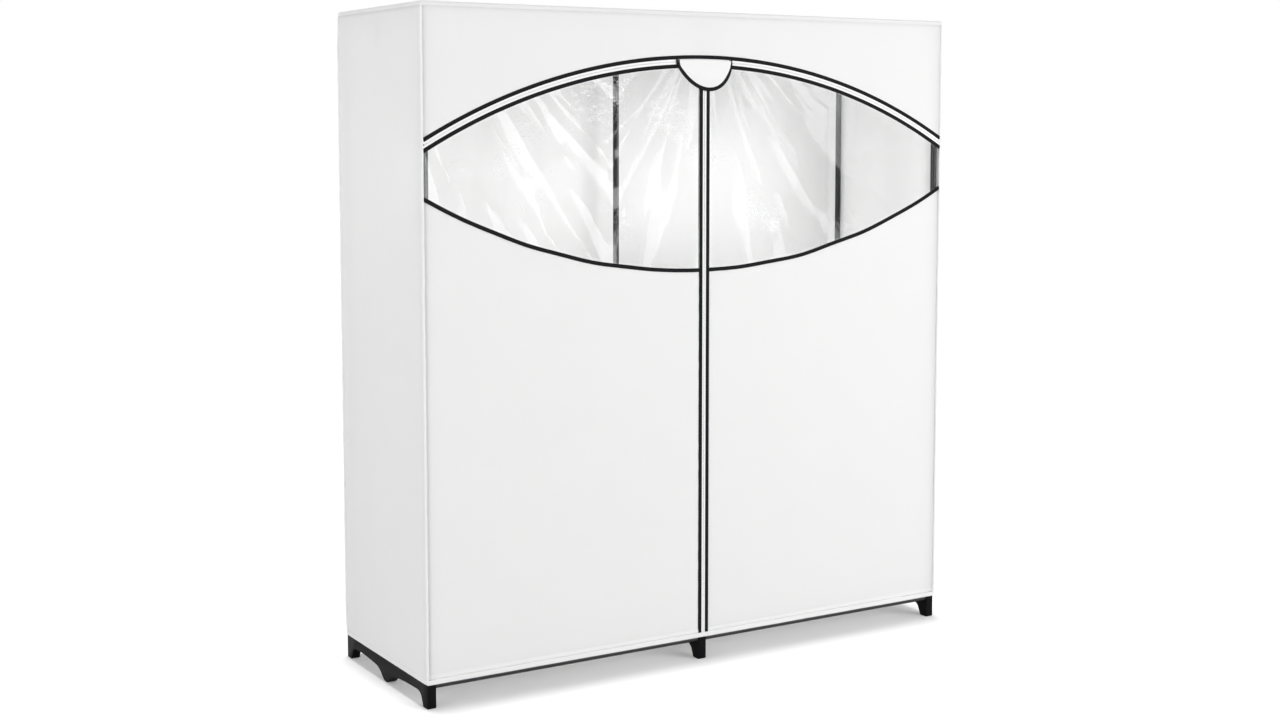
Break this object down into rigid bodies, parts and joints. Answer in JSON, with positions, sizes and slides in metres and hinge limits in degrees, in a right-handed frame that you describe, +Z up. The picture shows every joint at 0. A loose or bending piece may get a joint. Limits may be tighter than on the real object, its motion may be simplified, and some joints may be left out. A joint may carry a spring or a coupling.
{
  "type": "portable fabric wardrobe",
  "caption": "Portable wardrobe: tube frame with moulded rails and hanging rods under a white cloth cover with zipped doors and a clear arched window.",
  "frame": {"origin": "on the floor, under the middle of the wardrobe", "axes": "+Z up, -Y out of the zipped front, +X to the right of someone who faces the front"},
  "size_m": [1.5316, 0.5051, 1.626],
  "materials": {
    "white_cloth": "white non-woven polypropylene cloth, matt, faintly embossed and mottled",
    "white_piping": "brighter white folded cloth, matt",
    "black_binding": "black woven binding tape, folded and stitched down the middle",
    "clear_film": "clear soft film, glossy, with radiating creases",
    "zip_tape": "white woven zip tape with a nylon coil",
    "black_moulding": "satin black moulded plastic with a fine grain",
    "black_tube": "black powder-coated steel tube, satin",
    "slider_metal": "nickel-plated zip slider, softly worn"
  },
  "bodies": {
    "frame": {"base_rail_left": "black_moulding", "base_rail_centre": "black_moulding", "base_rail_right": "black_moulding", "top_rail_left": "black_moulding", "top_rail_centre": "black_moulding", "top_rail_right": "black_moulding", "pole_front_left_lower": "black_tube", "pole_front_left_upper": "black_tube", "pole_rear_left_lower": "black_tube", "pole_rear_left_upper": "black_tube", "pole_front_centre_lower": "black_tube", "pole_front_centre_upper": "black_tube", "pole_rear_centre_lower": "black_tube", "pole_rear_centre_upper": "black_tube", "pole_front_right_lower": "black_tube", "pole_front_right_upper": "black_tube", "pole_rear_right_lower": "black_tube", "pole_rear_right_upper": "black_tube", "bottom_rail_front_left": "black_tube", "bottom_rail_front_right": "black_tube", "bottom_rail_rear_left": "black_tube", "bottom_rail_rear_right": "black_tube", "top_tube_front_left": "black_tube", "top_tube_front_right": "black_tube", "top_tube_rear_left": "black_tube", "top_tube_rear_right": "black_tube", "hanging_rod_left": "black_tube", "hanging_rod_right": "black_tube", "cover_side_left": "white_cloth", "cover_side_right": "white_cloth", "cover_back": "white_cloth", "cover_top": "white_cloth", "cover_header": "white_cloth", "front_hem": "white_piping", "piping_front_left": "white_piping", "piping_front_right": "white_piping", "piping_rear_left": "white_piping", "piping_rear_right": "white_piping", "arch_binding": "black_binding", "arch_tape": "zip_tape"},
    "left_door": {"door_panel_left": "white_cloth", "window_film_left": "clear_film", "window_binding_left": "black_binding", "door_edge_left": "black_binding", "arch_tape_left": "zip_tape", "centre_tape_left": "zip_tape"},
    "right_door": {"door_panel_right": "white_cloth", "window_film_right": "clear_film", "window_binding_right": "black_binding", "door_edge_right": "black_binding", "arch_tape_right": "zip_tape", "centre_tape_right": "zip_tape"},
    "flap": {"zip_flap": "white_cloth", "flap_binding": "black_binding"},
    "centre_slider": {"centre_slider": "slider_metal"},
    "centre_pull": {"centre_pull": "slider_metal"},
    "left_arch_slider": {"left_arch_slider": "slider_metal"},
    "left_arch_pull": {"left_arch_pull": "slider_metal"},
    "right_arch_slider": {"right_arch_slider": "slider_metal"},
    "right_arch_pull": {"right_arch_pull": "slider_metal"}
  },
  "joints": [
    {"name": "left_door_swing", "type": "hinge", "parent": "frame", "child": "left_door", "pos_m": [-0.758, -0.2479, 0.78], "axis": [0, 0, -1], "range_deg": [0, 110]},
    {"name": "right_door_swing", "type": "hinge", "parent": "frame", "child": "right_door", "pos_m": [0.758, -0.2479, 0.78], "axis": [0, 0, 1], "range_deg": [0, 110]},
    {"name": "flap_lift", "type": "hinge", "parent": "frame", "child": "flap", "pos_m": [0, -0.2478, 1.5107], "axis": [-1, 0, 0], "range_deg": [0, 100], "deforming": ["zip_flap", "flap_binding"]},
    {"name": "centre_slider_travel", "type": "slide", "parent": "left_door", "child": "centre_slider", "axis": [0, 0, -1], "range_m": [0, 1.382]},
    {"name": "centre_pull_flip", "type": "hinge", "parent": "centre_slider", "child": "centre_pull", "pos_m": [0, -0.25, 1.482], "axis": [-1, 0, 0], "range_deg": [0, 150]},
    {"name": "left_arch_slider_travel", "type": "hinge", "parent": "frame", "child": "left_arch_slider", "pos_m": [0, -0.2467, -0.016], "axis": [0, -1, 0], "range_deg": [0, 28]},
    {"name": "left_arch_pull_flip", "type": "hinge", "parent": "left_arch_slider", "child": "left_arch_pull", "pos_m": [-0.014, -0.25, 1.50419], "axis": [-0.0092, 0, 1], "range_deg": [0, 150]},
    {"name": "right_arch_slider_travel", "type": "hinge", "parent": "frame", "child": "right_arch_slider", "pos_m": [0, -0.2467, -0.016], "axis": [0, 1, 0], "range_deg": [0, 28]},
    {"name": "right_arch_pull_flip", "type": "hinge", "parent": "right_arch_slider", "child": "right_arch_pull", "pos_m": [0.014, -0.25, 1.50419], "axis": [-0.0092, 0, -1], "range_deg": [0, 150]}
  ]
}
